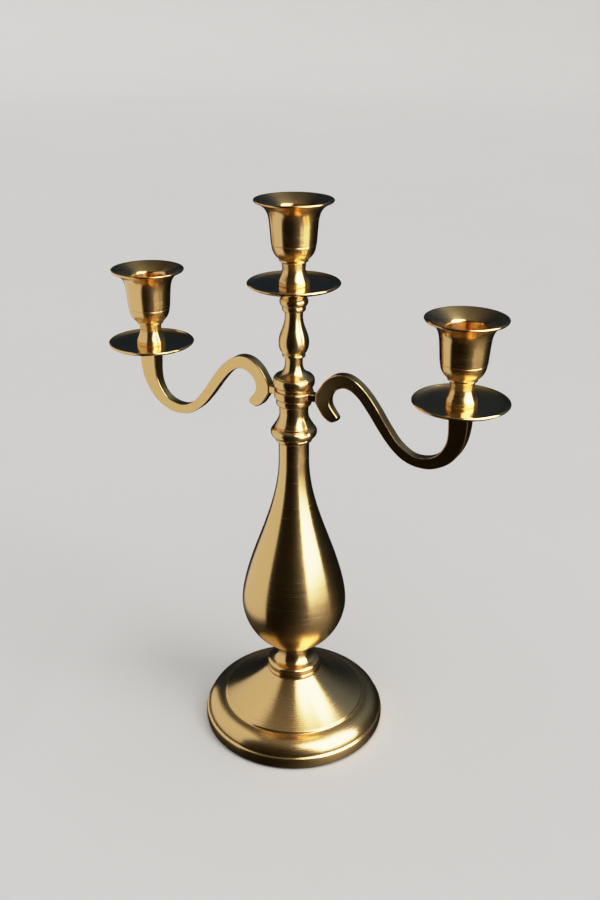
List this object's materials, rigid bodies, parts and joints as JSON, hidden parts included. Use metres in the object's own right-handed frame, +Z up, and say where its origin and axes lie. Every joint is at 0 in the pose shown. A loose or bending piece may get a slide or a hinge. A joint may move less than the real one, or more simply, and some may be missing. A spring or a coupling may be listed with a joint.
{
  "type": "tabletop candelabra",
  "caption": "Brass tabletop candelabra: round foot, pear-shaped stem, S-curved side arms and trumpet candle cups over drip pans that unscrew for cleaning.",
  "frame": {"origin": "on the table under the middle of the foot", "axes": "+Z up along the stem, +X along the right-hand arm, +Y away from the front"},
  "size_m": [0.2818, 0.1282, 0.3731],
  "materials": {
    "satin_brass": "turned brass, brushed round the axis to a satin and lacquered; arms brushed along their length",
    "bright_brass": "turned brass, finely polished and lacquered, faint turning rings",
    "zinc_steel": "zinc-plated threaded steel",
    "felt": "dark green wool felt"
  },
  "bodies": {
    "column": {"felt_pad": "felt", "foot": "satin_brass", "foot_washer": "zinc_steel", "foot_nut": "zinc_steel", "tie_rod": "zinc_steel", "foot_collar": "satin_brass", "vase": "satin_brass", "vase_cap": "satin_brass", "spool": "satin_brass", "hub_lid": "satin_brass", "bell": "satin_brass", "baluster": "satin_brass", "top_bead": "satin_brass"},
    "arms": {"arm_hub": "satin_brass", "arm_right": "satin_brass", "arm_left": "satin_brass", "arm_stud_right": "zinc_steel", "arm_stud_left": "zinc_steel", "cup_stud_right": "zinc_steel", "cup_stud_left": "zinc_steel"},
    "pan_center": {"drip_pan_center": "bright_brass"},
    "cup_center": {"candle_cup_center": "satin_brass"},
    "pan_right": {"drip_pan_right": "bright_brass"},
    "cup_right": {"candle_cup_right": "satin_brass"},
    "pan_left": {"drip_pan_left": "bright_brass"},
    "cup_left": {"candle_cup_left": "satin_brass"}
  },
  "joints": [
    {"name": "arms_swivel", "type": "hinge", "parent": "column", "child": "arms", "pos_m": [0, 0, 0.251], "axis": [0, 0, 1], "continuous": true},
    {"name": "cup_center_unscrew", "type": "hinge", "parent": "column", "child": "pan_center", "pos_m": [0, 0, 0.3215], "axis": [0, 0, 1], "range_deg": [0, 1800]},
    {"name": "cup_center_rise", "type": "slide", "parent": "pan_center", "child": "cup_center", "axis": [0, 0, 1], "range_m": [0, 0.00635]},
    {"name": "cup_right_unscrew", "type": "hinge", "parent": "arms", "child": "pan_right", "pos_m": [0.112, 0, 0.266], "axis": [0, 0, 1], "range_deg": [0, 1800]},
    {"name": "cup_right_rise", "type": "slide", "parent": "pan_right", "child": "cup_right", "axis": [0, 0, 1], "range_m": [0, 0.00635]},
    {"name": "cup_left_unscrew", "type": "hinge", "parent": "arms", "child": "pan_left", "pos_m": [-0.112, 0, 0.266], "axis": [0, 0, 1], "range_deg": [0, 1800]},
    {"name": "cup_left_rise", "type": "slide", "parent": "pan_left", "child": "cup_left", "axis": [0, 0, 1], "range_m": [0, 0.00635]}
  ],
  "couplings": [
    {"joint": "cup_center_rise", "follows": "cup_center_unscrew", "m_per_rad": 0.00020213},
    {"joint": "cup_right_rise", "follows": "cup_right_unscrew", "m_per_rad": 0.00020213},
    {"joint": "cup_left_rise", "follows": "cup_left_unscrew", "m_per_rad": 0.00020213}
  ]
}
